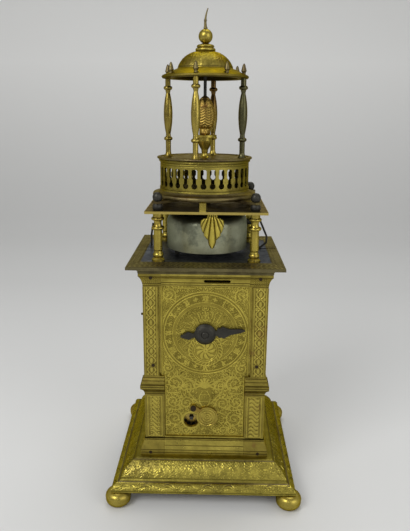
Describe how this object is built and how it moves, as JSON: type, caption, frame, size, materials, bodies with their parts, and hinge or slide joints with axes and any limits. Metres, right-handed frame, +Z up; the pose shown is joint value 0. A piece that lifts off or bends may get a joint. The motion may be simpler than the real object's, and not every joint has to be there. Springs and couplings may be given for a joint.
{
  "type": "table clock",
  "caption": "Tower-shaped table clock of engraved gilt brass with one hour hand, a bell stage, a pierced gallery and a domed cupola over a small carved figure.",
  "frame": {"origin": "middle of the floor under the four feet", "axes": "+Z up, the dial faces -Y, +X to the right as the dial is looked at"},
  "size_m": [0.1458, 0.1458, 0.3539],
  "materials": {
    "gilt_brass": "engraved gilt brass, worn bright on the high parts",
    "base_brass": "engraved brass with olive and brown tarnish",
    "side_brass": "gilt brass, a little duller than the front",
    "aged_brass": "grey-brown tarnished brass",
    "blackened_iron": "forged iron, blackened and slightly blued",
    "steel": "filed and polished steel",
    "blued_spring": "hardened spring steel strip",
    "bell_metal": "cast bell metal, grey-green with dark mottling",
    "wheel_brass": "cut and filed movement brass"
  },
  "bodies": {
    "case": {"back_pivot_plate": "blackened_iron", "balance_cock": "wheel_brass", "ball_nuts": "blackened_iron", "base_moulding": "base_brass", "bell": "bell_metal", "bell_pillars": "gilt_brass", "bell_stud": "blackened_iron", "bell_wire": "blackened_iron", "bun_feet": "base_brass", "canopy_plate": "aged_brass", "carved_figure": "gilt_brass", "case_pins": "blackened_iron", "centre_rod": "blackened_iron", "corner_post_back_left": "gilt_brass", "corner_post_back_right": "gilt_brass", "corner_post_front_left": "gilt_brass", "corner_post_front_right": "gilt_brass", "cornice_plate": "aged_brass", "cupola_columns": "gilt_brass", "cupola_finials": "gilt_brass", "cupola_roof": "gilt_brass", "dome_finial": "gilt_brass", "figure_pedestal": "gilt_brass", "frieze_rails": "gilt_brass", "front_panel": "gilt_brass", "front_pivot_plate": "blackened_iron", "front_strap": "gilt_brass", "gallery_base_ring": "gilt_brass", "gallery_bracket": "gilt_brass", "gallery_drum": "gilt_brass", "gallery_top_plate": "aged_brass", "leaf_ornament": "gilt_brass", "left_panel": "side_brass", "middle_pivot_plate": "blackened_iron", "movement_base_plate": "blackened_iron", "movement_top_plate": "blackened_iron", "plinth_rails": "gilt_brass", "potence": "blackened_iron", "right_panel": "side_brass"},
    "going_barrel_group": {"going_great_wheel": "wheel_brass", "going_barrel": "wheel_brass", "going_mainspring": "blued_spring"},
    "going_winding_group": {"going_winding_arbor": "steel"},
    "second_wheel_group": {"second_wheel": "wheel_brass"},
    "crown_wheel_group": {"crown_wheel": "wheel_brass"},
    "motion_wheel_group": {"motion_wheel": "wheel_brass"},
    "hour_wheel_group": {"hour_wheel": "wheel_brass"},
    "hour_hand_group": {"hour_hand": "blackened_iron"},
    "balance_group": {"verge": "steel", "balance": "wheel_brass"},
    "strike_barrel_group": {"strike_great_wheel": "wheel_brass", "strike_barrel": "wheel_brass", "strike_mainspring": "blued_spring"},
    "strike_winding_group": {"strike_winding_arbor": "steel"},
    "pin_wheel_group": {"pin_wheel": "wheel_brass"},
    "fly_group": {"fly": "steel"},
    "count_wheel_group": {"count_wheel": "wheel_brass"},
    "hammer_group": {"hammer": "blackened_iron"},
    "shutter_group": {"shutter_disc": "gilt_brass"},
    "back_door_group": {"back_door": "side_brass"}
  },
  "joints": [
    {"name": "going_great_wheel_turn", "type": "hinge", "parent": "case", "child": "going_barrel_group", "pos_m": [-0.01, -0.03, 0.058], "axis": [0, 1, 0], "continuous": true},
    {"name": "second_wheel_turn", "type": "hinge", "parent": "case", "child": "second_wheel_group", "pos_m": [-0.004, -0.015, 0.08248], "axis": [0, 1, 0], "continuous": true},
    {"name": "crown_wheel_turn", "type": "hinge", "parent": "case", "child": "crown_wheel_group", "pos_m": [0, -0.005, 0.10553], "axis": [0, 1, 0], "continuous": true},
    {"name": "motion_wheel_turn", "type": "hinge", "parent": "case", "child": "motion_wheel_group", "pos_m": [-0.00921, -0.037, 0.08849], "axis": [0, 1, 0], "continuous": true},
    {"name": "hour_wheel_turn", "type": "hinge", "parent": "case", "child": "hour_wheel_group", "pos_m": [0, -0.039, 0.1284], "axis": [0, 1, 0], "continuous": true},
    {"name": "hand_setting", "type": "hinge", "parent": "hour_wheel_group", "child": "hour_hand_group", "pos_m": [0, -0.045, 0.1284], "axis": [0, 1, 0], "continuous": true},
    {"name": "going_winding", "type": "hinge", "parent": "case", "child": "going_winding_group", "pos_m": [-0.01, -0.02, 0.058], "axis": [0, 1, 0], "continuous": true},
    {"name": "balance_swing", "type": "hinge", "parent": "case", "child": "balance_group", "pos_m": [0, -0.0118, 0.15], "axis": [0, 0, 1], "range_deg": [-40, 40]},
    {"name": "strike_great_wheel_turn", "type": "hinge", "parent": "case", "child": "strike_barrel_group", "pos_m": [0.01, 0.032, 0.058], "axis": [0, 1, 0], "continuous": true},
    {"name": "pin_wheel_turn", "type": "hinge", "parent": "case", "child": "pin_wheel_group", "pos_m": [0.004, 0.02, 0.08248], "axis": [0, 1, 0], "continuous": true},
    {"name": "fly_turn", "type": "hinge", "parent": "case", "child": "fly_group", "pos_m": [0.006, 0.02, 0.10579], "axis": [0, 1, 0], "continuous": true},
    {"name": "count_wheel_turn", "type": "hinge", "parent": "case", "child": "count_wheel_group", "pos_m": [-0.004, 0.037, 0.07853], "axis": [0, 1, 0], "continuous": true},
    {"name": "strike_winding", "type": "hinge", "parent": "case", "child": "strike_winding_group", "pos_m": [0.01, 0.02, 0.058], "axis": [0, 1, 0], "continuous": true},
    {"name": "hammer_lift", "type": "hinge", "parent": "case", "child": "hammer_group", "pos_m": [0.0275, 0.02, 0.101], "axis": [0, 1, 0], "range_deg": [0, 3], "stiffness_Nm_per_rad": 0.05, "springref_deg": -2.86},
    {"name": "shutter_swing", "type": "hinge", "parent": "case", "child": "shutter_group", "pos_m": [-0.0084, -0.044, 0.0689], "axis": [0, 1, 0], "range_deg": [0, 64]},
    {"name": "back_door_swing", "type": "hinge", "parent": "case", "child": "back_door_group", "pos_m": [-0.0285, 0.042, 0.105], "axis": [0, 0, 1], "range_deg": [0, 90]}
  ],
  "couplings": [
    {"joint": "second_wheel_turn", "follows": "going_great_wheel_turn", "ratio": -8},
    {"joint": "crown_wheel_turn", "follows": "going_great_wheel_turn", "ratio": 64},
    {"joint": "motion_wheel_turn", "follows": "going_great_wheel_turn", "ratio": -0.25},
    {"joint": "hour_wheel_turn", "follows": "going_great_wheel_turn", "ratio": 0.083333},
    {"joint": "pin_wheel_turn", "follows": "strike_great_wheel_turn", "ratio": -8},
    {"joint": "fly_turn", "follows": "strike_great_wheel_turn", "ratio": 64},
    {"joint": "count_wheel_turn", "follows": "strike_great_wheel_turn", "ratio": -0.82051}
  ]
}
